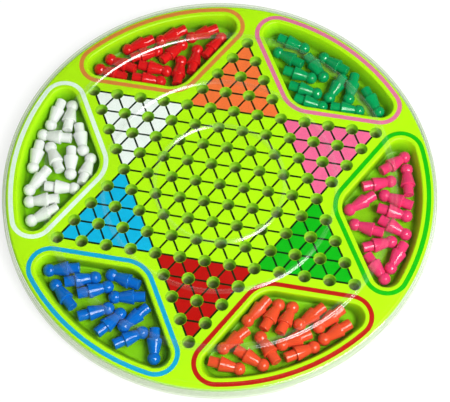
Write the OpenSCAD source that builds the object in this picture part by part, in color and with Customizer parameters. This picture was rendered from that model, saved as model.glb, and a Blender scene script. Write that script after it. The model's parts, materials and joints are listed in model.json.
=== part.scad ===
// Round chinese checkers board with a clear lid and six sets of peg pawns.
// Units are mm and +Z is up. The board stands on the bottoms of its six storage wells,
// with its centre at the origin and one star point towards +Y.

/* [Board] */
// Outer diameter of the board
board_d = 280; // [276:1:284]
// Height of the playing surface above the table
deck_h = 12; // [12:0.5:16]
// Thickness of the playing deck
deck_t = 2; // [1.6:0.1:2.4]
// How far the rolled rim hangs below the playing surface
rim_drop = 4; // [3:0.5:6]
// Wall thickness of the rolled rim
rim_wall = 1.8; // [1.2:0.1:2.4]
// Radius of the rim's outer top edge
rim_round = 2; // [1:0.5:2]

/* [Sockets] */
// Distance between neighbouring sockets
pitch = 16; // [15.8:0.1:16.2]
// Socket bore diameter
socket_d = 7.6; // [7.2:0.1:8]
// Socket depth below the playing surface
socket_depth = 8.8; // [6:0.2:9.2]
// Wall thickness of the cup under each socket
cup_wall = 1.4; // [1:0.1:1.6]

/* [Wells] */
// Radius of a well's outer wall at the top
well_r = 132; // [130:0.5:133]
// Distance from the star's outer rows of sockets to a well's side wall
well_offset = 12.6; // [12:0.2:14]
// Plan radius of a well's two outer corners
well_corner = 9; // [7:0.5:10]
// Plan radius of a well's inner corner
well_nose = 15.5; // [12:0.5:18]
// How far the outer wall leans in by the bottom
well_slant = 4; // [2:0.5:6]
// Wall and floor thickness of a well
well_wall = 1.5; // [1.2:0.1:2]
// Radius of the rounded lip around a well's mouth
well_lip = 1.5; // [0.8:0.1:1.8]

/* [Pawns] */
// Length of a pawn
pawn_l = 23.6; // [23:0.2:24]
// Stem diameter, a loose fit in the sockets
stem_d = 6.8; // [6.6:0.1:7.2]
// Stem length
stem_l = 7; // [6:0.5:8]
// Body diameter where it meets the stem
shoulder_d = 9.7; // [8.8:0.1:9.8]
// Diameter of the neck under the head
neck_d = 6.2; // [5:0.2:7]
// Diameter of the ball head
head_d = 8.2; // [7.6:0.1:8.4]

/* [Lid] */
// Thickness of the clear sheet
lid_t = 1.2; // [1:0.1:1.6]
// Gap between the playing surface and the lid's flat sheet
lid_gap = 0.9; // [0.7:0.1:1.5]
// Outer radius of the lid's skirt
lid_r = 142; // [141.5:0.1:142.5]
// How far the skirt hangs below the playing surface
skirt_drop = 8.5; // [6:0.5:10]
// Height of the three raised rings
ring_h = 1; // [0.6:0.1:1.4]

/* [Hidden] */
$fn = 48;
colour_names = ["pink", "green", "red", "white", "blue", "orange"];
point_names = ["pink", "orange", "white", "blue", "red", "green"];
singles = 6;                         // pawns of each colour that are a node of their own
joint_off = 6;                       // deck joint line, outside the star's outer rows
u_off = 64 * pitch / 16;             // star's inner corners
tip_r = 4 * sqrt(3) * pitch;         // star's outer corners
cup_r = socket_d / 2 + cup_wall;
edge_r = board_d / 2;
rest = 0.32;                         // gap under a pawn and under the lid's land
tilt = asin((shoulder_d - head_d) / 2 / (pawn_l - head_d / 2 - stem_l));
axis_h = well_wall + rest + shoulder_d / 2 - (pawn_l / 2 - stem_l) * sin(tilt);
lime = [0.69, 1, 0.05];
clear = [0.85, 0.95, 0.95, 0.35];
paint = [[0.92, 0.24, 0.43], [0.05, 0.62, 0.36], [0.9, 0.12, 0.12],
         [0.97, 0.97, 0.97], [0.05, 0.43, 0.82], [0.94, 0.33, 0.2]];
land_r = 136;                        // where the lid's disc meets its skirt
lid_z = deck_h + lid_gap;

// Pawns as they lie: [x, y, direction the head points], well by well.
lying = [
    [[111.5, 38, 44], [121, 27, 100], [103, 21, 23], [115, 11, 165], [92, 4, 222],
     [115.5, 1.5, 353], [98.5, -12.5, 170], [117, -9.5, 337], [108.5, -22.5, 24],
     [120, -30.5, 250], [109, -40, 312]],
    [[31.5, 119, 345], [29, 107.5, 157], [50, 102, 313], [60.5, 108, 153], [39.5, 95, 352],
     [45, 83.5, 351], [50, 74, 351], [75, 73.5, 1], [75.5, 89.5, 265], [64.5, 87.5, 248],
     [91.5, 81.5, 306]],
    [[-89.5, 74.5, 168], [-84, 83, 164], [-75, 99.5, 215], [-54, 111, 217], [-33, 116.5, 211],
     [-22.5, 108.5, 65], [-67.5, 93.5, 29], [-59.5, 83, 356], [-49.5, 99, 54], [-43, 84.5, 92],
     [-34, 95, 88], [-62, 73.5, 1]],
    [[-119, 35, 260], [-109, 36.5, 93], [-116, 19, 181], [-97.5, 19.5, 291], [-100.5, 1, 281],
     [-89, -1, 85], [-112.5, 4, 122], [-124.5, 1.5, 269], [-119.5, -16, 243], [-102, -17.5, 6],
     [-113.5, -29, 196], [-110.5, -39.5, 218]],
    [[-89.5, -74.5, 194], [-74.5, -79, 20], [-49.5, -74.5, 167], [-65, -84.5, 25], [-85, -91, 137],
     [-61.5, -99, 27], [-44.5, -86, 190], [-51, -104, 53], [-37.5, -99.5, 230], [-36.5, -112, 35],
     [-21, -115.5, 279]],
    [[48, -82, 69], [57.5, -82.5, 74], [37.5, -82, 237], [71, -80, 227], [83, -79.5, 228],
     [88, -87.5, 221], [63.5, -96.5, 211], [70, -103, 32], [48, -104, 130], [40, -113, 339],
     [26.5, -103.5, 228], [25.5, -120, 355]]];

// Lattice points of the middle field, then of the star point towards direction 30.
function at(i, j) = [pitch * (i + j / 2), pitch * j * sqrt(3) / 2];
field_holes = [for (i = [-4:4], j = [-4:4]) if (abs(i + j) <= 4) at(i, j)];
point_holes = [for (i = [1:4], j = [1:4]) if (i + j >= 5) at(i, j)];

// Plan outline of a well towards +X: d is the side offset and r the outer radius.
function nose_u(d) = u_off + d / sin(60);
function corner_a(d, r, rc) = 60 - asin((rc + u_off * sin(60) + d) / (r - rc));
function arc(c, r, a, b, n) = [for (i = [0:n - 1]) let (t = a + (b - a) * i / n)
    [c[0] + r * cos(t), c[1] + r * sin(t)]];
function outline(d, r, rc, rn) = let (
        f = corner_a(d, r, rc),
        c = [(r - rc) * cos(f), (r - rc) * sin(f)],
        n = [nose_u(d) + rn / sin(60), 0])
    concat(arc([0, 0], r, -f, f, 14), arc(c, rc, f, 150, 12), arc(n, rn, 150, 210, 8),
        arc([c[0], -c[1]], rc, 210, 360 - f, 12));

// A stack of outlines with the same number of points, skinned into one closed body.
// Each row is [z, inset of the sides, inset of the outer arc].
module stack(rows) {
    rings = [for (w = rows) outline(well_offset + w[1], well_r - w[2],
        well_corner - w[1], well_nose - w[1])];
    n = len(rings[0]);
    m = len(rows);
    pts = [for (k = [0:m - 1], p = rings[k]) [p[0], p[1], rows[k][0]]];
    polyhedron(points = pts, faces = concat(
        [[for (i = [0:n - 1]) i]],
        [for (k = [0:m - 2], i = [0:n - 1]) let (a = k * n + i, b = k * n + (i + 1) % n)
            [a, a + n, b]],
        [for (k = [0:m - 2], i = [0:n - 1]) let (a = k * n + i, b = k * n + (i + 1) % n)
            [b, a + n, b + n]],
        [[for (i = [n - 1:-1:0]) (m - 1) * n + i]]));
}

function lean(z) = well_slant * (deck_h - well_lip - z) / (deck_h - well_lip - well_wall);

module well_cavity() {
    z0 = well_wall;
    z1 = deck_h - well_lip;
    stack([
        [z0, 1.4, lean(z0) + 1.1],
        [z0 + 0.4, 0.7, lean(z0 + 0.4) + 0.4],
        [z0 + 1.2, 0.3, lean(z0 + 1.2)],
        [z1, 0, 0],
        [z1 + well_lip * 0.5, -well_lip * 0.14, -well_lip * 0.14],
        [z1 + well_lip * 0.87, -well_lip * 0.5, -well_lip * 0.5],
        [deck_h, -well_lip, -well_lip],
        [deck_h + 2, -well_lip, -well_lip]]);
}

module well_shell() {
    w = well_wall;
    z1 = deck_h - deck_t / 2;
    stack([
        [0, 1.4 - w, lean(w) + 1.1 - w],
        [0.5, 0.6 - w, lean(w) + 0.4 - w],
        [1.4, 0.3 - w, lean(w) - w],
        [z1, -w, -w]]);
}

// The deck's section with its rolled rim, turned about the board's centre.
module deck_ring() {
    rotate_extrude($fn = 96) polygon(concat(
        [[60, deck_h - deck_t], [edge_r - rim_wall, deck_h - deck_t],
         [edge_r - rim_wall, deck_h - rim_drop], [edge_r, deck_h - rim_drop]],
        [for (a = [0:15:90]) [edge_r - rim_round + rim_round * cos(a),
            deck_h - rim_round + rim_round * sin(a)]],
        [[60, deck_h]]));
}

module well(k) {
    v = nose_u(joint_off);
    t = tip_r + joint_off / sin(30);
    color(lime) rotate([0, 0, 60 * k]) difference() {
        union() {
            intersection() {
                deck_ring();
                linear_extrude(deck_h + 1) polygon([[v, 0],
                    [t * cos(30), -t * sin(30)], [170 * cos(30), -170 * sin(30)], [170, 0],
                    [170 * cos(30), 170 * sin(30)], [t * cos(30), t * sin(30)]]);
            }
            well_shell();
        }
        well_cavity();
    }
}

// One socket's blind bore, open at the playing surface.
module bore() {
    translate([0, 0, deck_h - socket_depth])
        cylinder(d = socket_d, h = socket_depth + 1, $fn = 32);
}

module socketed(holes) {
    z0 = deck_h - socket_depth - cup_wall;
    difference() {
        union() {
            translate([0, 0, deck_h - deck_t]) linear_extrude(deck_t) children();
            for (p = holes) translate([p[0], p[1], z0])
                cylinder(r = cup_r, h = deck_h - deck_t / 2 - z0, $fn = 32);
        }
        for (p = holes) translate([p[0], p[1], 0]) bore();
    }
}

module field() {
    v = nose_u(joint_off);
    color(lime) socketed(field_holes)
        polygon([for (k = [0:5]) [v * cos(60 * k), v * sin(60 * k)]]);
}

module star_point(k) {
    v = nose_u(joint_off);
    t = tip_r + joint_off / sin(30);
    color(lime) rotate([0, 0, 60 * k]) socketed(point_holes)
        polygon([[v, 0], [t * cos(30), t * sin(30)], [v * cos(60), v * sin(60)]]);
}

// Section of a raised ring: points along its crown for one side of the sheet.
function crown(r, w, h, z) = [for (i = [0:6]) let (t = i / 6)
    [r - w / 2 + w * t, z + h * sin(180 * t)]];
function reversed(p) = [for (i = [len(p) - 1:-1:0]) p[i]];

module lid_disc() {
    z1 = lid_z + lid_t;
    color(clear) rotate_extrude($fn = 96) polygon(concat(
        [[0, lid_z]],
        crown(42.5, 2.2, ring_h - 0.1, lid_z), crown(76.5, 2.2, ring_h - 0.1, lid_z),
        crown(114, 4, ring_h - 0.1, lid_z),
        [[land_r, lid_z], [land_r, z1]],
        reversed(crown(114, 5.4, ring_h, z1)), reversed(crown(76.5, 3.4, ring_h, z1)),
        reversed(crown(42.5, 3.4, ring_h, z1)),
        [[0, z1]]));
}

module lid_skirt() {
    z1 = lid_z + lid_t;
    zb = deck_h - skirt_drop;
    ri = lid_r - lid_t;
    ro = 2.4;
    color(clear) rotate_extrude($fn = 96) polygon(concat(
        [[land_r, lid_z], [land_r + 0.4, deck_h + rest], [ri - 0.9, deck_h + rest],
         [ri - 0.2, deck_h],
         [ri, deck_h - 0.8], [ri, zb], [lid_r + 0.8, zb], [lid_r + 0.8, zb + 0.9],
         [lid_r, zb + 1.1]],
        [for (a = [0:15:90]) [lid_r - ro + ro * cos(a), z1 - ro + ro * sin(a)]],
        [[land_r, z1]]));
}

// A pawn standing on its stem, turned from one section.
module pawn_shape() {
    rh = head_d / 2;
    zc = pawn_l - rh;
    rn = neck_d / 2;
    a0 = asin(sqrt(1 - pow((rn - 0.1) / rh, 2)));
    rotate_extrude($fn = 40) polygon(concat(
        [[0, 0], [stem_d / 2 - 0.5, 0], [stem_d / 2, 0.5], [stem_d / 2, stem_l],
         [shoulder_d / 2 - 0.5, stem_l], [shoulder_d / 2, stem_l + 0.6],
         [rn, zc - rh * sin(a0) - 0.4]],
        [for (i = [0:12]) let (a = -a0 + (90 + a0) * i / 12)
            [max(0, rh * cos(a)), zc + rh * sin(a)]]));
}

module pawn(c, i) {
    p = lying[c][i];
    color(paint[c]) translate([p[0], p[1], axis_h]) rotate([0, 90 + tilt, p[2]])
        translate([0, 0, -pawn_l / 2]) pawn_shape();
}

field();
for (k = [0:5])
    star_point(k);
for (k = [0:5])
    well(k);
lid_disc();
lid_skirt();
for (c = [0:5], i = [0:singles - 1])
    pawn(c, i);
for (c = [0:5])
    for (i = [singles:len(lying[c]) - 1]) pawn(c, i);
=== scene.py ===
"""Looks of the round chinese checkers board: moulded board, printed star, peg pawns and clear lid.
Lengths are in millimetres up to the mesh builders, which turn them into metres."""

import json
import math

import bmesh
import bpy
import numpy as np
from mathutils import Matrix, Vector, geometry


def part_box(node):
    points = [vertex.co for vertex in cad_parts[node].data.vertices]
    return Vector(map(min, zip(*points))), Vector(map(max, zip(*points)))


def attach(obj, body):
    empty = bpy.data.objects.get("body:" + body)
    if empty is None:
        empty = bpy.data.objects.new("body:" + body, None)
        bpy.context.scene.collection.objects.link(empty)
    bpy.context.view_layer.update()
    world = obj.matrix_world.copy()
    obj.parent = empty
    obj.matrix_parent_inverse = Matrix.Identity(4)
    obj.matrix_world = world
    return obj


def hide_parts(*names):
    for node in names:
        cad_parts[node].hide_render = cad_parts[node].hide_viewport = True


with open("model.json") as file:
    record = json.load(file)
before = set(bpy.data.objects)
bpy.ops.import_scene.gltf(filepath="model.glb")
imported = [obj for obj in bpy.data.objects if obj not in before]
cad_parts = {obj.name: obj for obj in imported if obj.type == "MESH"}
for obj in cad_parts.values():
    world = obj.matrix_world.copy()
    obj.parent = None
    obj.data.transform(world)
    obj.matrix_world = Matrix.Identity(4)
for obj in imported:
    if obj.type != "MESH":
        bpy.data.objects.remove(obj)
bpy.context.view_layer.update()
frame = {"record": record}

MM = 0.001
SQ3 = math.sqrt(3)

# ---------------------------------------------------------------- sizes, as in the CAD
deck_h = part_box("field")[1].z / MM
board_r = 140.0
deck_t, rim_drop, rim_wall, rim_round = 2.0, 4.0, 1.8, 2.0
pitch, bore_r, bore_depth, cup_wall = 16.0, 3.8, 8.8, 1.4
well_r, well_offset, well_corner, well_nose = 132.0, 12.6, 9.0, 15.5
well_slant, well_wall, well_lip = 4.0, 1.5, 1.5
pawn_l, stem_r, stem_l, shoulder_r, neck_r, head_r = 23.6, 3.4, 7.0, 4.85, 3.1, 4.1
lid_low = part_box("lid_skirt")[0].z / MM
lid_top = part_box("lid_disc")[1].z / MM
rest = 0.32          # the gap under a pawn, and under the lid where it sits on the deck

# ---------------------------------------------------------------- sizes that only the looks have
chamfer = 0.4        # easing of a socket's mouth
socket_round = 2.2   # rounding between a socket's wall and its floor
INK_SINK = 0.03      # how far a printed layer reaches into the deck
INK = 0.05           # how far the ink stands above the deck
LINE_INK = 0.09      # the same for the lines between the sockets
LINE_HALF = 0.62     # half the width of those lines
BORDER = (3.0, 6.0)  # inner and outer edge of a well's border, from the foot of the well's lip
BORE_STEPS, RIM_STEPS, PAWN_STEPS, LID_STEPS = 32, 240, 40, 360      # facets of the round pieces

WELLS = ["pink", "green", "red", "white", "blue", "orange"]      # wells, from direction 0 in steps of 60
POINTS = ["pink", "orange", "white", "blue", "red", "green"]     # star points, from direction 30
BORDERS = ["green", "pink", "orange", "white", "blue", "red"]    # printed line round each well

# Pawns as they lie: x, y, direction the head points, well by well.
LYING = {
    "pink": [(111.5, 38, 44), (121, 27, 100), (103, 21, 23), (115, 11, 165), (92, 4, 222),
             (115.5, 1.5, 353), (98.5, -12.5, 170), (117, -9.5, 337), (108.5, -22.5, 24),
             (120, -30.5, 250), (109, -40, 312)],
    "green": [(31.5, 119, 345), (29, 107.5, 157), (50, 102, 313), (60.5, 108, 153), (39.5, 95, 352),
              (45, 83.5, 351), (50, 74, 351), (75, 73.5, 1), (75.5, 89.5, 265), (64.5, 87.5, 248),
              (91.5, 81.5, 306)],
    "red": [(-89.5, 74.5, 168), (-84, 83, 164), (-75, 99.5, 215), (-54, 111, 217), (-33, 116.5, 211),
            (-22.5, 108.5, 65), (-67.5, 93.5, 29), (-59.5, 83, 356), (-49.5, 99, 54), (-43, 84.5, 92),
            (-34, 95, 88), (-62, 73.5, 1)],
    "white": [(-119, 35, 260), (-109, 36.5, 93), (-116, 19, 181), (-97.5, 19.5, 291), (-100.5, 1, 281),
              (-89, -1, 85), (-112.5, 4, 122), (-124.5, 1.5, 269), (-119.5, -16, 243), (-102, -17.5, 6),
              (-113.5, -29, 196), (-110.5, -39.5, 218)],
    "blue": [(-89.5, -74.5, 194), (-74.5, -79, 20), (-49.5, -74.5, 167), (-65, -84.5, 25), (-85, -91, 137),
             (-61.5, -99, 27), (-44.5, -86, 190), (-51, -104, 53), (-37.5, -99.5, 230), (-36.5, -112, 35),
             (-21, -115.5, 279)],
    "orange": [(48, -82, 69), (57.5, -82.5, 74), (37.5, -82, 237), (71, -80, 227), (83, -79.5, 228),
               (88, -87.5, 221), (63.5, -96.5, 211), (70, -103, 32), (48, -104, 130), (40, -113, 339),
               (26.5, -103.5, 228), (25.5, -120, 355)],
}
SINGLES = 6      # pawns of each colour that are a CAD node of their own


# ---------------------------------------------------------------- camera
def make_camera():
    """The photo's view, in metres."""
    data = bpy.data.cameras.new("camera")
    data.lens, data.sensor_width, data.sensor_fit = 103.44, 36.0, "AUTO"
    data.clip_start, data.clip_end = 0.02, 50
    cam = bpy.data.objects.new("camera", data)
    bpy.context.scene.collection.objects.link(cam)
    place = Vector((0.06854, -0.37563, 0.76617))
    aim = Vector((0.00552, -0.01164, 0.0120))
    turn = (aim - place).to_track_quat("-Z", "Y").to_matrix().to_4x4()
    cam.matrix_world = Matrix.Translation(place) @ turn
    bpy.context.scene.camera = cam


# ---------------------------------------------------------------- plan shapes
def arc(cx, cy, r, a, b, n):
    """n points from angle a up to, but not with, angle b."""
    return [(cx + r * math.cos(math.radians(a + (b - a) * i / n)),
             cy + r * math.sin(math.radians(a + (b - a) * i / n))) for i in range(n)]


def circle(cx, cy, r, n):
    return arc(cx, cy, r, 0, 360, n)


def outline(grow, turn=0.0):
    """A well's plan outline at the foot of its lip, grown by grow. turn is its direction in degrees."""
    d, r = well_offset - grow, well_r + grow
    return shape(d, r, well_corner + grow, well_nose + grow, turn)


def shape(d, r, rc, rn, turn):
    """A well's outline at a distance d off the star, inside radius r, with corners of radius rc and a
    nose of radius rn."""
    off = 4 * pitch * math.sin(math.radians(60))
    f = 60 - math.degrees(math.asin((rc + off + d) / (r - rc)))
    cx, cy = (r - rc) * math.cos(math.radians(f)), (r - rc) * math.sin(math.radians(f))
    nx = 4 * pitch + d / math.sin(math.radians(60)) + rn / math.sin(math.radians(60))
    pts = (arc(0, 0, r, -f, f, 56) + arc(cx, cy, rc, f, 150, 30) + arc(nx, 0, rn, 150, 210, 24)
           + arc(cx, -cy, rc, 210, 360 - f, 30))
    c, s = math.cos(math.radians(turn)), math.sin(math.radians(turn))
    return [(x * c - y * s, x * s + y * c) for x, y in pts]


def lattice():
    """The 121 sockets as lattice steps (i, j)."""
    return [(i, j) for i in range(-8, 9) for j in range(-8, 9)
            if (max(abs(i), abs(j), abs(i + j)) <= 4) or
            (i >= -4 and j >= -4 and i + j <= 4) or (i <= 4 and j <= 4 and i + j >= -4)]


def at(i, j):
    """Where the lattice step (i, j) lies."""
    return pitch * (i + j / 2), pitch * j * SQ3 / 2


SOCKETS = {p: at(*p) for p in lattice()}


# ---------------------------------------------------------------- mesh builders
def inside(points, loop):
    """Which of the points lie inside a closed loop."""
    x, y = points[:, 0], points[:, 1]
    hit = np.zeros(len(points), bool)
    for (x0, y0), (x1, y1) in zip(loop, loop[1:] + loop[:1]):
        if y0 != y1:
            cross = (y0 > y) != (y1 > y)
            hit ^= cross & (x < (x1 - x0) * (y - y0) / (y1 - y0) + x0)
    return hit


def flat(bm, outer, holes, z, up):
    """A flat face at height z from the outer loop, with the holes left out."""
    verts, edges = [], []
    for loop in [outer] + holes:
        n = len(verts)
        verts += [Vector(p) for p in loop]
        edges += [(n + i, n + (i + 1) % len(loop)) for i in range(len(loop))]
    pts, _, tris, *_ = geometry.delaunay_2d_cdt(verts, edges, [], 1, 1e-7)
    pts = np.array([(p.x, p.y) for p in pts])
    tris = np.array(tris)
    mid = pts[tris].mean(axis=1)
    keep = inside(mid, outer)
    for loop in holes:
        keep &= ~inside(mid, loop)
    made = [bm.verts.new((x * MM, y * MM, z * MM)) for x, y in pts]
    for t in tris[keep]:
        a, b, c = pts[t]
        ccw = (b[0] - a[0]) * (c[1] - a[1]) - (b[1] - a[1]) * (c[0] - a[0]) > 0
        bm.faces.new([made[i] for i in (t if ccw == up else t[::-1])])


def walls(bm, rows, flip=False):
    """A band of faces through loops of equal length. Each row is (loop, z), and rows that go up face out."""
    rings = [[bm.verts.new((x * MM, y * MM, z * MM)) for x, y in loop] for loop, z in rows]
    n = len(rings[0])
    for a, b in zip(rings, rings[1:]):
        for i in range(n):
            q = [a[i], a[(i + 1) % n], b[(i + 1) % n], b[i]]
            bm.faces.new(q[::-1] if flip else q)


def lathe(bm, profile, n, cx=0.0, cy=0.0):
    """Turns a profile of (r, z), going up on the outside, about a vertical axis."""
    rings = []
    for r, z in profile:
        if r < 1e-6:
            rings.append([bm.verts.new((cx * MM, cy * MM, z * MM))])
        else:
            rings.append([bm.verts.new((x * MM, y * MM, z * MM)) for x, y in circle(cx, cy, r, n)])
    for a, b in zip(rings, rings[1:]):
        for i in range(n):
            q = [a[i % len(a)], a[(i + 1) % len(a)], b[(i + 1) % len(b)], b[i % len(b)]]
            q = list(dict.fromkeys(q))
            if len(q) > 2:
                bm.faces.new(q)


def slab(bm, loop, z0, z1):
    """A thin closed plate over a loop."""
    low = [bm.verts.new((x * MM, y * MM, z0 * MM)) for x, y in loop]
    high = [bm.verts.new((x * MM, y * MM, z1 * MM)) for x, y in loop]
    n = len(loop)
    faces = [bm.faces.new(high), bm.faces.new(low[::-1])]
    for i in range(n):
        bm.faces.new([low[i], low[(i + 1) % n], high[(i + 1) % n], high[i]])
    bmesh.ops.triangulate(bm, faces=[f for f in faces if len(f.verts) > 4])


def finish_mesh(name, bm, sharp=30.0, weld=True):
    """Welds, shades and links a mesh; edges sharper than the angle stay crisp."""
    if weld:
        bmesh.ops.remove_doubles(bm, verts=bm.verts, dist=1.5e-6)
    bm.normal_update()
    for f in bm.faces:
        f.smooth = True
    limit = math.radians(sharp)
    for e in bm.edges:
        e.smooth = len(e.link_faces) == 2 and e.calc_face_angle(0.0) < limit
    mesh = bpy.data.meshes.new(name)
    bm.to_mesh(mesh)
    bm.free()
    obj = bpy.data.objects.new(name, mesh)
    bpy.context.scene.collection.objects.link(obj)
    even = obj.modifiers.new("even", "WEIGHTED_NORMAL")
    even.keep_sharp, even.weight, even.mode = True, 90, "FACE_AREA"
    return obj


# ---------------------------------------------------------------- the board
def quarter(r0, z0, radius, n, start, end):
    """n steps of an arc in a profile, about (r0, z0), between two angles."""
    return [(r0 + radius * math.cos(math.radians(start + (end - start) * i / n)),
             z0 + radius * math.sin(math.radians(start + (end - start) * i / n))) for i in range(n + 1)]


def build_board():
    bm = bmesh.new()
    under = deck_h - deck_t
    floor_z, foot_z = deck_h - bore_depth, deck_h - bore_depth - cup_wall
    cup_r = bore_r + cup_wall
    cup_ease, shell_ease = 0.3, 0.25     # the fillets where cups and shells meet the deck's underside
    rim = circle(0, 0, board_r - rim_round, RIM_STEPS)
    rim_in = circle(0, 0, board_r - rim_wall, RIM_STEPS)
    mouths = [circle(x, y, bore_r + chamfer, BORE_STEPS) for x, y in SOCKETS.values()]
    cups = [circle(x, y, cup_r + cup_ease, BORE_STEPS) for x, y in SOCKETS.values()]
    tops = [outline(well_lip, 60 * k) for k in range(6)]
    shells = [outline(well_wall + shell_ease, 60 * k) for k in range(6)]
    # the sockets' insides come first, in the second material slot
    for x, y in SOCKETS.values():
        hollow = quarter(bore_r - socket_round, floor_z + socket_round, socket_round, 6, -90, 0)
        lathe(bm, [(0, floor_z)] + hollow + [
            (bore_r, deck_h - 4), (bore_r, deck_h - chamfer),
            (bore_r + chamfer * 0.4, deck_h - chamfer * 0.3), (bore_r + chamfer, deck_h)], BORE_STEPS, x, y)
    for face in bm.faces:
        face.material_index = 1
    flat(bm, rim, mouths + tops, deck_h, True)
    flat(bm, rim_in, cups + shells, under, False)
    # rolled rim
    edge = quarter(board_r - rim_round, deck_h - rim_round, rim_round, 10, 0, 90)
    low = deck_h - rim_drop
    profile = ([(board_r - rim_wall, under), (board_r - rim_wall, low + 0.3),
                (board_r - rim_wall + 0.3, low), (board_r - 0.4, low), (board_r, low + 0.4)] + edge)
    walls(bm, [(circle(0, 0, r, RIM_STEPS), z) for r, z in profile])
    # the cups under the sockets
    for x, y in SOCKETS.values():
        walls(bm, [(circle(x, y, cup_r + cup_ease, BORE_STEPS), under),
                   (circle(x, y, cup_r, BORE_STEPS), under - cup_ease)])
        cup = [(0, foot_z), (cup_r - 0.4, foot_z), (cup_r, foot_z + 0.4), (cup_r, under - cup_ease)]
        lathe(bm, cup, BORE_STEPS, x, y)
    # wells: lip, leaning wall and floor above, in the third material slot, and shell below
    z1 = deck_h - well_lip

    def lean(z):
        """How far the well's outer wall has come inwards at height z."""
        return well_slant * (z1 - z) / (z1 - well_wall)

    for k in range(6):
        def ring(sides, outer):
            """The well's outline drawn in by two amounts, one at the sides and one at the outer wall."""
            g = -sides
            return shape(well_offset - g, well_r - outer, well_corner + g, well_nose + g, 60 * k)
        rows = [(ring(2.2, lean(well_wall) + 1.9), well_wall),
                (ring(1.2, lean(well_wall) + 0.9), well_wall + 0.1),
                (ring(0.6, lean(well_wall) + 0.35), well_wall + 0.45),
                (ring(0.35, lean(well_wall + 1.0) + 0.05), well_wall + 1.0),
                (ring(0.3, lean(well_wall + 1.6)), well_wall + 1.6)]
        for t in (0.25, 0.5, 0.75, 1.0):
            z = well_wall + 1.6 + (z1 - well_wall - 1.6) * t
            rows.append((ring(0.3 * (1 - t), lean(z)), z))
        for a in range(10, 91, 10):
            g = well_lip * (1 - math.cos(math.radians(a)))
            rows.append((ring(-g, -g), z1 + well_lip * math.sin(math.radians(a))))
        first = len(bm.faces)
        walls(bm, rows, flip=True)
        flat(bm, rows[0][0], [], well_wall, True)
        bm.faces.ensure_lookup_table()
        for face in bm.faces[first:]:
            face.material_index = 2
        w = well_wall
        low_rows = [(ring(2.0 - w, lean(w) + 1.7 - w), 0.0), (ring(1.1 - w, lean(w) + 0.8 - w), 0.12),
                    (ring(0.6 - w, lean(w) + 0.3 - w), 0.5), (ring(0.35 - w, lean(w) + 0.05 - w), 1.2)]
        for t in (0.0, 0.33, 0.66, 1.0):
            z = 1.6 + (under - cup_ease - 1.6) * t
            low_rows.append((ring(0.3 * (1 - t) - w, lean(z) * (1 - t) - w), z))
        low_rows.append((outline(w + shell_ease, 60 * k), under))
        walls(bm, low_rows)
        flat(bm, low_rows[0][0], [], 0.0, False)
    return finish_mesh("board_moulding", bm, 32)


# ---------------------------------------------------------------- printed decoration
def print_points(k):
    """The sixteen coloured triangles of the star point towards direction 30 + 60 k."""
    bm = bmesh.new()
    gap, r = 0.2, bore_r + chamfer + 0.03
    turn = Matrix.Rotation(math.radians(60 * k), 2)
    for i in range(0, 5):
        for j in range(0, 5):
            for tri in (((i, j), (i + 1, j), (i, j + 1)), ((i + 1, j + 1), (i, j + 1), (i + 1, j))):
                if any(p[0] > 4 or p[1] > 4 or p[0] + p[1] < 4 for p in tri):
                    continue
                c = [Vector(at(*p)) for p in tri]
                loop = []
                for n in range(3):
                    here, after, before = c[n], c[(n + 1) % 3], c[n - 1]
                    a = math.degrees(math.atan2(*(before - here).yx))
                    b = math.degrees(math.atan2(*(after - here).yx))
                    span = (b - a + 180) % 360 - 180
                    cut = math.degrees(math.asin(gap / r))
                    cut = cut if span > 0 else -cut
                    a, span = a + cut, span - 2 * cut
                    turns = [math.radians(a + span * s / 8) for s in range(9)]
                    loop += [here + Vector((math.cos(v), math.sin(v))) * r for v in turns]
                slab(bm, [tuple(turn @ p) for p in loop], deck_h - INK_SINK, deck_h + INK)
    return finish_mesh("print_point_" + POINTS[k], bm, 30, weld=False)


def print_border(k):
    """The coloured line around the well towards direction 60 k."""
    bm = bmesh.new()
    a, b = (outline(grow, 60 * k) for grow in BORDER)
    z0, z1 = deck_h - INK_SINK, deck_h + INK
    rows = [(a, z0), (a, z1), (b, z1), (b, z0), (a, z0)]
    walls(bm, rows, flip=True)
    return finish_mesh("print_border_" + BORDERS[k], bm, 30)


def print_lines():
    """The dark lines between neighbouring sockets."""
    bm = bmesh.new()
    r, w = bore_r + chamfer, LINE_HALF
    for (i, j), (x, y) in SOCKETS.items():
        for di, dj in ((1, 0), (0, 1), (-1, 1)):
            if (i + di, j + dj) in SOCKETS:
                x1, y1 = SOCKETS[i + di, j + dj]
                ux, uy = (x1 - x) / pitch, (y1 - y) / pitch
                loop = [(x + ux * s - uy * t, y + uy * s + ux * t)
                        for s, t in ((r, -w), (pitch - r, -w), (pitch - r, w), (r, w))]
                slab(bm, loop, deck_h - INK_SINK, deck_h + LINE_INK)
    return finish_mesh("print_lines", bm, 30, weld=False)


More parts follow.
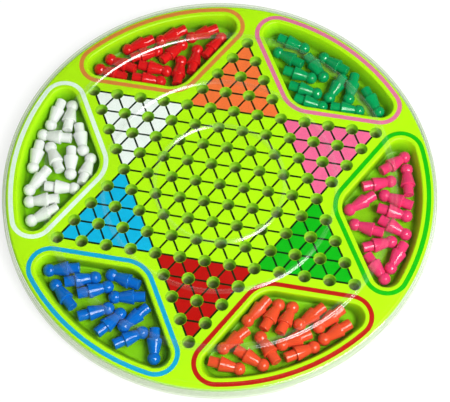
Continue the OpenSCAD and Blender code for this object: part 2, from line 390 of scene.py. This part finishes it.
# ---------------------------------------------------------------- pawns
def pawn_mesh():
    """One pawn standing on the foot of its stem: stem, shoulder, tapered body, neck and ball head."""
    zc = pawn_l - head_r
    a0 = math.degrees(math.acos((neck_r - 0.12) / head_r))
    neck_z = zc - head_r * math.sin(math.radians(a0))
    p = [(0, 0.25), (0.7, 0.25), (0.9, 0.0), (stem_r - 0.45, 0.0)]
    p += quarter(stem_r - 0.45, 0.45, 0.45, 4, -90, 0)[1:]
    p += [(stem_r - 0.02, 3.5), (stem_r - 0.05, stem_l - 0.12), (stem_r + 0.08, stem_l)]
    p += quarter(shoulder_r - 0.45, stem_l + 0.45, 0.45, 5, -90, -5)
    p += [(shoulder_r - 0.02, stem_l + 0.9)]
    span = neck_z - 0.35 - (stem_l + 0.9)
    for t in (0.2, 0.4, 0.6, 0.8, 0.93):
        p.append((shoulder_r - 0.02 + (neck_r - shoulder_r) * (t ** 1.08), stem_l + 0.9 + span * t))
    p += [(neck_r - 0.05, neck_z - 0.3), (neck_r - 0.14, neck_z - 0.08)]
    for n in range(0, 17):
        a = -a0 + (90 + a0) * n / 16
        p.append((max(0.0, head_r * math.cos(math.radians(a))), zc + head_r * math.sin(math.radians(a))))
    p[-1] = (0.0, pawn_l)
    bm = bmesh.new()
    lathe(bm, p, PAWN_STEPS)
    obj = finish_mesh("pawn", bm, 40)
    mesh = obj.data
    bpy.data.objects.remove(obj)
    return mesh


def build_pawns():
    """The pawns as they lie: shoulder and head rest on the well's floor, so each is tilted a little."""
    mesh = pawn_mesh()
    tilt = math.asin((shoulder_r - head_r) / (pawn_l - head_r - stem_l))
    height = well_wall + rest + shoulder_r - (pawn_l / 2 - stem_l) * math.sin(tilt)
    for colour in WELLS:
        spots = []
        for x, y, heading in LYING[colour]:
            spots.append(Matrix.Translation(Vector((x, y, height)) * MM)
                         @ Matrix.Rotation(math.radians(heading), 4, "Z")
                         @ Matrix.Rotation(math.radians(90) + tilt, 4, "Y")
                         @ Matrix.Translation((0, 0, -pawn_l / 2 * MM)))
        groups = [("%s_%d" % (colour, i + 1), [spots[i]], "pawn_%s_%d" % (colour, i + 1))
                  for i in range(SINGLES)]
        groups.append((colour + "_more", spots[SINGLES:], "pawns_%s_rest" % colour))
        for name, places, node in groups:
            bm = bmesh.new()
            for m in places:
                first = len(bm.verts)
                bm.from_mesh(mesh)
                bm.verts.ensure_lookup_table()
                bmesh.ops.transform(bm, matrix=m, verts=bm.verts[first:])
            obj = finish_mesh("peg_" + name, bm, 40, weld=False)
            obj.data.materials.append(MATERIALS["pawn_" + colour])
            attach(obj, "pawns_" + colour)
            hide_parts(node)


# ---------------------------------------------------------------- lid
def crown(r, w, h, z, ease, flank, n=4):
    """Points along a raised ring's section: flanks of one slope, eased over a length at foot and top."""
    run = min(w / 2, h / math.tan(math.radians(flank)) + ease)
    slope = h / (run - ease)
    side = [(ease * i / n, slope * ease * (i / n) ** 2 / 2) for i in range(n + 1)]
    side += [(run - d, h - up) for d, up in side[::-1]]
    left = [(r - w / 2 + d, z + up) for d, up in side]
    right = [(r + w / 2 - d, z + up) for d, up in side[::-1]]
    return left + right[1 if run == w / 2 else 0:]


# The lid's raised rings: radius, width above and below, length of the easing, slope of the flanks.
RINGS = ((42.5, 3.4, 2.2, 0.15, 31), (76.5, 3.4, 2.2, 0.15, 31), (114, 5.4, 4.0, 0.6, 36))


def build_lid():
    """Lid and skirt in one skin: the top, the skirt's outside and foot, its inside, the disc's underside."""
    sheet, gap = 1.2, 0.9
    z0 = deck_h + gap
    z1 = z0 + sheet
    ri, ro, land, corner_r = 140.8, 142.0, 136.0, 2.4
    top = [(0, z1)]
    for r, w, _, ease, flank in RINGS:
        top += crown(r, w, lid_top - z1, z1, ease, flank)
    top += quarter(ro - corner_r, z1 - corner_r, corner_r, 12, 90, 0)
    outer = [(ro, lid_low + 1.4), (ro + 0.15, lid_low + 1.1), (ro + 0.7, lid_low + 0.95),
             (ro + 0.8, lid_low + 0.8), (ro + 0.8, lid_low + 0.15), (ro + 0.65, lid_low),
             (ri + 0.15, lid_low), (ri, lid_low + 0.15)]
    inner = [(ri, deck_h - 0.8), (ri - 0.2, deck_h), (ri - 0.9, deck_h + rest),
             (land + 0.4, deck_h + rest), (land, z0)]
    below = []
    for r, _, w, ease, flank in RINGS[::-1]:
        below += crown(r, w, lid_top - z1 - 0.1, z0, ease, flank)[::-1]
    profile = top + outer + inner + below + [(0, z0)]
    bm = bmesh.new()
    lathe(bm, profile[::-1], LID_STEPS)
    # the skirt is in the second material slot and the raised rings are in the third
    for face in bm.faces:
        r = face.calc_center_median().xy.length / MM
        if r > ro - corner_r + 0.6:
            face.material_index = 1
        elif any(abs(r - ring[0]) < ring[1] / 2 for ring in RINGS):
            face.material_index = 2
    return finish_mesh("lid_clear", bm, 50)


# ---------------------------------------------------------------- materials
MILK = (0.70, 0.80, 0.60)      # the milky share of clear plastic, as linear colour


def linear(rgb):
    """The linear colour of a written one of 0 to 255."""
    return [(c / 255 / 12.92) if c / 255 <= 0.04045 else ((c / 255 + 0.055) / 1.055) ** 2.4 for c in rgb]


def shade(rgb, k):
    """A linear colour made k times as bright, with alpha."""
    return [min(1.0, max(0.0, c * k)) for c in rgb] + [1.0]


class Tree:
    """Short hand for a material's nodes."""

    def __init__(self, name):
        self.mat = bpy.data.materials.new(name)
        self.mat.use_nodes = True
        self.t = self.mat.node_tree
        self.bsdf = self.t.nodes["Principled BSDF"]
        self.out = self.t.nodes["Material Output"]
        self.coord = self.node("ShaderNodeTexCoord").outputs["Object"]

    def node(self, kind, **values):
        n = self.t.nodes.new(kind)
        for k, v in values.items():
            setattr(n, k, v)
        return n

    def link(self, a, b):
        self.t.links.new(a, b)

    def noise(self, scale, detail=2.0, rough=0.5):
        n = self.node("ShaderNodeTexNoise")
        n.inputs["Scale"].default_value = scale
        n.inputs["Detail"].default_value = detail
        n.inputs["Roughness"].default_value = rough
        self.link(self.coord, n.inputs["Vector"])
        return n.outputs["Fac"]

    def remap(self, value, a, b, lo, hi):
        n = self.node("ShaderNodeMapRange")
        for k, v in (("From Min", a), ("From Max", b), ("To Min", lo), ("To Max", hi)):
            n.inputs[k].default_value = v
        self.link(value, n.inputs["Value"])
        return n.outputs["Result"]

    def bump(self, height, distance, strength=1.0, after=None):
        n = self.node("ShaderNodeBump")
        n.inputs["Distance"].default_value = distance
        n.inputs["Strength"].default_value = strength
        self.link(height, n.inputs["Height"])
        if after is not None:
            self.link(after, n.inputs["Normal"])
        return n.outputs["Normal"]


def colour_mix(tree, fac, a, b):
    """Colour a or b by fac; each is a colour or another node's output."""
    n = tree.node("ShaderNodeMix", data_type="RGBA")
    sockets = [s for s in n.inputs if s.type == "RGBA"]
    tree.link(fac, n.inputs[0])
    for v, s in ((a, sockets[0]), (b, sockets[1])):
        if hasattr(v, "is_output"):
            tree.link(v, s)
        else:
            s.default_value = v
    return [s for s in n.outputs if s.type == "RGBA"][0]


def plastic(name, rgb, rough, specular, grain, depth, swing, cloud=45.0):
    """Moulded plastic: cloudy colour, uneven gloss and a fine eroded grain. grain and cloud are scales of
    noise, depth is the grain's and swing the share by which the colour varies."""
    t = Tree(name)
    base = linear(rgb)
    fac = t.remap(t.noise(cloud, 3.0), 0.3, 0.7, 0.0, 1.0)
    t.link(colour_mix(t, fac, shade(base, 1 - swing), shade(base, 1 + swing)), t.bsdf.inputs["Base Color"])
    t.link(t.remap(t.noise(cloud * 5, 4.0, 0.6), 0.3, 0.7, *rough), t.bsdf.inputs["Roughness"])
    t.bsdf.inputs["Specular IOR Level"].default_value = specular
    fine = t.noise(grain, 2.0)
    wave = t.noise(120.0, 1.0)
    n = t.bump(wave, depth * 3, 0.5)
    t.link(t.bump(fine, depth, 0.6, n), t.bsdf.inputs["Normal"])
    return t.mat


def ink(name, rgb):
    """Screen-printed ink: tiny pinholes and a slightly uneven film."""
    t = Tree(name)
    base = linear(rgb)
    film = t.remap(t.noise(260.0, 4.0, 0.65), 0.35, 0.7, 0.0, 1.0)
    t.link(colour_mix(t, film, shade(base, 0.95), shade(base, 1.03)), t.bsdf.inputs["Base Color"])
    t.link(t.remap(t.noise(90.0, 3.0), 0.3, 0.7, 0.3, 0.42), t.bsdf.inputs["Roughness"])
    t.bsdf.inputs["Specular IOR Level"].default_value = 0.3
    t.link(t.bump(t.noise(3000.0, 2.0), 0.000008, 0.5), t.bsdf.inputs["Normal"])
    return t.mat


def painted_shade_plastic(name, stops, rough, specular, uneven):
    """The deck's plastic going down a socket or a well, coloured by height with painted shade and light.
    Each stop is (height, colour), and uneven is the scale of the noise that blurs them."""
    t = Tree(name)
    split = t.node("ShaderNodeSeparateXYZ")
    t.link(t.coord, split.inputs[0])
    low, high = stops[0][0], stops[-1][0]
    depth = t.remap(split.outputs["Z"], low * MM, high * MM, 0.0, 1.0)
    shift = t.node("ShaderNodeMath", operation="ADD")
    t.link(depth, shift.inputs[0])
    t.link(t.remap(t.noise(uneven, 2.0), 0.3, 0.7, -0.05, 0.05), shift.inputs[1])
    ramp = t.node("ShaderNodeValToRGB")
    t.link(shift.outputs[0], ramp.inputs["Fac"])
    marks = ramp.color_ramp.elements
    for z, _ in stops[1:-1]:
        marks.new((z - low) / (high - low))
    for mark, (_, rgb) in zip(marks, stops):
        mark.color = linear(rgb) + [1.0]
    t.link(ramp.outputs["Color"], t.bsdf.inputs["Base Color"])
    t.link(t.remap(t.noise(200.0, 3.0), 0.3, 0.7, *rough), t.bsdf.inputs["Roughness"])
    t.bsdf.inputs["Specular IOR Level"].default_value = specular
    t.link(t.bump(t.noise(1500.0, 2.0), 0.00001, 0.6), t.bsdf.inputs["Normal"])
    return t.mat


def clear_plastic(name, haze=0.0, rough=(0.03, 0.06), body=(0.97, 0.985, 0.975), edge=(0.9, 0.93, 0.9),
                  mirror=0.04):
    """Clear plastic: see-through and darker edge on, with a mirror film that grows towards grazing view.
    haze is the share of it that is milky, mirror the film's strength face on."""
    t = Tree(name)
    t.t.nodes.remove(t.bsdf)
    clear = t.node("ShaderNodeBsdfTransparent")
    gloss = t.node("ShaderNodeBsdfGlossy")
    t.link(t.remap(t.noise(60.0, 3.0), 0.3, 0.7, *rough), gloss.inputs["Roughness"])
    facing = t.node("ShaderNodeLayerWeight")
    facing.inputs["Blend"].default_value = 0.5
    steep = t.node("ShaderNodeMath", operation="POWER")
    square = t.node("ShaderNodeMath", operation="POWER")
    steep.inputs[1].default_value, square.inputs[1].default_value = 5.0, 2.0
    t.link(facing.outputs["Facing"], steep.inputs[0])
    t.link(facing.outputs["Facing"], square.inputs[0])
    film = t.remap(steep.outputs["Value"], 0.0, 1.0, mirror, 0.95)
    cloud = t.remap(t.noise(30.0, 3.0), 0.3, 0.7, 0.0, 1.0)
    face_on = colour_mix(t, cloud, shade(body, 1.01), shade(body, 0.995))
    t.link(colour_mix(t, square.outputs["Value"], face_on, shade(edge, 1.0)), clear.inputs["Color"])
    t.link(t.bump(t.noise(30.0, 1.0), 0.00002, 0.5), gloss.inputs["Normal"])
    behind = clear.outputs[0]
    if haze:
        milk = t.node("ShaderNodeBsdfDiffuse")
        milky = colour_mix(t, t.noise(90.0, 2.0), shade(MILK, 0.95), shade(MILK, 1.05))
        t.link(milky, milk.inputs["Color"])
        blend = t.node("ShaderNodeMixShader")
        blend.inputs[0].default_value = haze
        t.link(clear.outputs[0], blend.inputs[1])
        t.link(milk.outputs[0], blend.inputs[2])
        behind = blend.outputs[0]
    mix = t.node("ShaderNodeMixShader")
    t.link(film, mix.inputs[0])
    t.link(behind, mix.inputs[1])
    t.link(gloss.outputs[0], mix.inputs[2])
    t.link(mix.outputs[0], t.out.inputs["Surface"])
    return t.mat


MATERIALS = {
    "board": plastic("lime_plastic", (186, 245, 0), (0.34, 0.46), 0.3, 1800.0, 0.000012, 0.015),
    "lines": ink("dark_ink", (4, 38, 2)),
    # painted shade and light in the sockets: darker down towards the floor, with a painted lit band on the
    # wall about 5 mm down
    "socket": painted_shade_plastic("socket_painted_shade_and_light", [
        (deck_h - bore_depth, (112, 116, 70)), (deck_h - 7.6, (142, 160, 76)),
        (deck_h - 5.0, (196, 240, 90)), (deck_h - 2.6, (176, 236, 50)), (deck_h, (150, 212, 8))],
        (0.4, 0.5), 0.25, 420.0),
    # painted shade in the wells: darker at the foot of the wall and on the floor than at the lip
    "well": painted_shade_plastic("well_painted_shade", [
        (well_wall, (136, 208, 4)), (well_wall + 1.4, (106, 164, 6)),
        (well_wall + 5.5, (140, 208, 5)), (deck_h - 1.2, (186, 245, 0))], (0.34, 0.46), 0.3, 60.0),
    "lid": clear_plastic("clear_lid"),
    "skirt": clear_plastic("clear_skirt", 0.15, (0.04, 0.08), (0.95, 0.97, 0.92), (0.54, 0.67, 0.42)),
    "ring": clear_plastic("clear_ring", 0.015, (0.18, 0.22), mirror=0.062),
}
POINT_RGB = {"pink": (247, 106, 155), "orange": (253, 120, 58), "white": (249, 254, 249),
             "blue": (2, 185, 232), "red": (194, 8, 0), "green": (5, 184, 16)}
BORDER_RGB = {"pink": (232, 120, 160), "orange": (226, 138, 60), "white": (237, 253, 240),
              "blue": (10, 170, 215), "red": (190, 22, 8), "green": (16, 188, 6)}
PAWN_RGB = {"pink": (236, 58, 114), "green": (0, 157, 88), "red": (228, 24, 26),
            "white": (244, 244, 242), "blue": (3, 107, 204), "orange": (233, 80, 44)}
for c in WELLS:
    MATERIALS["point_" + c] = ink("point_ink_" + c, POINT_RGB[c])
    MATERIALS["border_" + c] = ink("border_ink_" + c, BORDER_RGB[c])
    MATERIALS["pawn_" + c] = plastic("pawn_plastic_" + c, PAWN_RGB[c], (0.08, 0.13), 0.5, 900.0,
                                     0.000003, 0.04, 160.0)


# ---------------------------------------------------------------- stage
def make_floor():
    """A pale floor just under the board. Light bounces off it as off any pale floor, and the camera and the
    gloss see it near white, with the object's shadow."""
    mesh = bpy.data.meshes.new("floor")
    s = 15.0
    mesh.from_pydata([(-s, -s, 0), (s, -s, 0), (s, s, 0), (-s, s, 0)], [], [(0, 1, 2, 3)])
    obj = bpy.data.objects.new("floor", mesh)
    obj.location.z = -0.0002
    bpy.context.scene.collection.objects.link(obj)
    t = Tree("pale_floor")
    t.t.nodes.remove(t.bsdf)
    rays = t.node("ShaderNodeLightPath")
    seen = t.node("ShaderNodeMath", operation="MAXIMUM")
    shown = t.node("ShaderNodeMath", operation="MAXIMUM")
    t.link(rays.outputs["Is Camera Ray"], seen.inputs[0])
    t.link(rays.outputs["Is Glossy Ray"], seen.inputs[1])
    t.link(seen.outputs[0], shown.inputs[0])
    t.link(rays.outputs["Is Transmission Ray"], shown.inputs[1])
    plain, soft = t.node("ShaderNodeBsdfDiffuse"), t.node("ShaderNodeBsdfDiffuse")
    plain.inputs["Color"].default_value = (0.8, 0.8, 0.8, 1)
    soft.inputs["Color"].default_value = (0.24, 0.24, 0.24, 1)
    glow = t.node("ShaderNodeEmission")
    glow.inputs["Strength"].default_value = 0.78
    add = t.node("ShaderNodeAddShader")
    t.link(soft.outputs[0], add.inputs[0])
    t.link(glow.outputs[0], add.inputs[1])
    face = t.node("ShaderNodeMixShader")
    t.link(shown.outputs[0], face.inputs[0])
    t.link(plain.outputs[0], face.inputs[1])
    t.link(add.outputs[0], face.inputs[2])
    # seen from below, the floor is left out so that the underside shows, and light reaches it
    back = t.node("ShaderNodeNewGeometry")
    gone = t.node("ShaderNodeBsdfTransparent")
    through = t.node("ShaderNodeMath", operation="MAXIMUM")
    t.link(back.outputs["Backfacing"], through.inputs[0])
    t.link(rays.outputs["Is Shadow Ray"], through.inputs[1])
    whole = t.node("ShaderNodeMixShader")
    t.link(through.outputs[0], whole.inputs[0])
    t.link(face.outputs[0], whole.inputs[1])
    t.link(gone.outputs[0], whole.inputs[2])
    t.link(whole.outputs[0], t.out.inputs["Surface"])
    mesh.materials.append(t.mat)


def area_light(name, azimuth, elevation, distance, width, height, radiance):
    """A soft lamp aimed at the middle of the board. azimuth is from +X towards +Y."""
    data = bpy.data.lights.new(name, "AREA")
    data.shape, data.size, data.size_y = "RECTANGLE", width, height
    data.energy = radiance * math.pi * width * height
    obj = bpy.data.objects.new(name, data)
    a, e = math.radians(azimuth), math.radians(elevation)
    way = Vector((math.cos(a) * math.cos(e), math.sin(a) * math.cos(e), math.sin(e)))
    aim = (-way).to_track_quat("-Z", "Y").to_matrix().to_4x4()
    obj.matrix_world = Matrix.Translation(way * distance) @ aim
    obj.visible_camera = False
    bpy.context.scene.collection.objects.link(obj)


def make_light():
    """Two soft lamps and a studio that is paler at its horizon."""
    area_light("key", -30, 50, 1.05, 0.62, 0.52, 15.4)
    area_light("fill", 165, 42, 1.6, 1.4, 1.2, 0.35)
    world = bpy.data.worlds.new("studio")
    bpy.context.scene.world = world
    world.use_nodes = True
    t = world.node_tree
    back = t.nodes["Background"]
    coord = t.nodes.new("ShaderNodeTexCoord")
    split = t.nodes.new("ShaderNodeSeparateXYZ")
    t.links.new(coord.outputs["Generated"], split.inputs[0])

    def ramp(a, b, lo, hi):
        """Strength by height in the sky, from lo below a to hi above b."""
        n = t.nodes.new("ShaderNodeMapRange")
        n.interpolation_type = "SMOOTHSTEP"
        for k, v in (("From Min", a), ("From Max", b), ("To Min", lo), ("To Max", hi)):
            n.inputs[k].default_value = v
        t.links.new(split.outputs["Z"], n.inputs["Value"])
        return n.outputs["Result"]
    # what lights the object, what shows in its gloss, and the white that the camera sees
    lit, mirrored = ramp(0.0, 0.85, 0.58, 0.18), ramp(0.02, 0.4, 1.0, 0.04)
    rays = t.nodes.new("ShaderNodeLightPath")
    shiny = t.nodes.new("ShaderNodeMath")
    shiny.operation = "MAXIMUM"
    t.links.new(rays.outputs["Is Glossy Ray"], shiny.inputs[0])
    t.links.new(rays.outputs["Is Transmission Ray"], shiny.inputs[1])

    def pick(fac, a, b):
        """a, or b where fac is 1; b is an output, or None for 1."""
        n = t.nodes.new("ShaderNodeMix")
        t.links.new(fac, n.inputs["Factor"])
        t.links.new(a, n.inputs["A"])
        if b is None:
            n.inputs["B"].default_value = 1.0
        else:
            t.links.new(b, n.inputs["B"])
        return n.outputs["Result"]
    strength = pick(rays.outputs["Is Camera Ray"], pick(shiny.outputs[0], lit, mirrored), None)
    t.links.new(strength, back.inputs["Strength"])
    back.inputs["Color"].default_value = (1, 1, 1, 1)


# ---------------------------------------------------------------- put together
make_camera()
board = build_board()
for slot in ("board", "socket", "well"):
    board.data.materials.append(MATERIALS[slot])
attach(board, "board")
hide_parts(*frame["record"]["behaviour"]["bodies"]["board"])
for k in range(6):
    for obj, colour, kind in ((print_points(k), POINTS[k], "point_"),
                              (print_border(k), BORDERS[k], "border_")):
        obj.data.materials.append(MATERIALS[kind + colour])
        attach(obj, "board")
lines = print_lines()
lines.data.materials.append(MATERIALS["lines"])
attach(lines, "board")
build_pawns()
lid = build_lid()
for slot in ("lid", "skirt", "ring"):
    lid.data.materials.append(MATERIALS[slot])
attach(lid, "lid")
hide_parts("lid_disc", "lid_skirt")
make_floor()
make_light()

view = bpy.context.scene.view_settings
view.view_transform = "Standard"
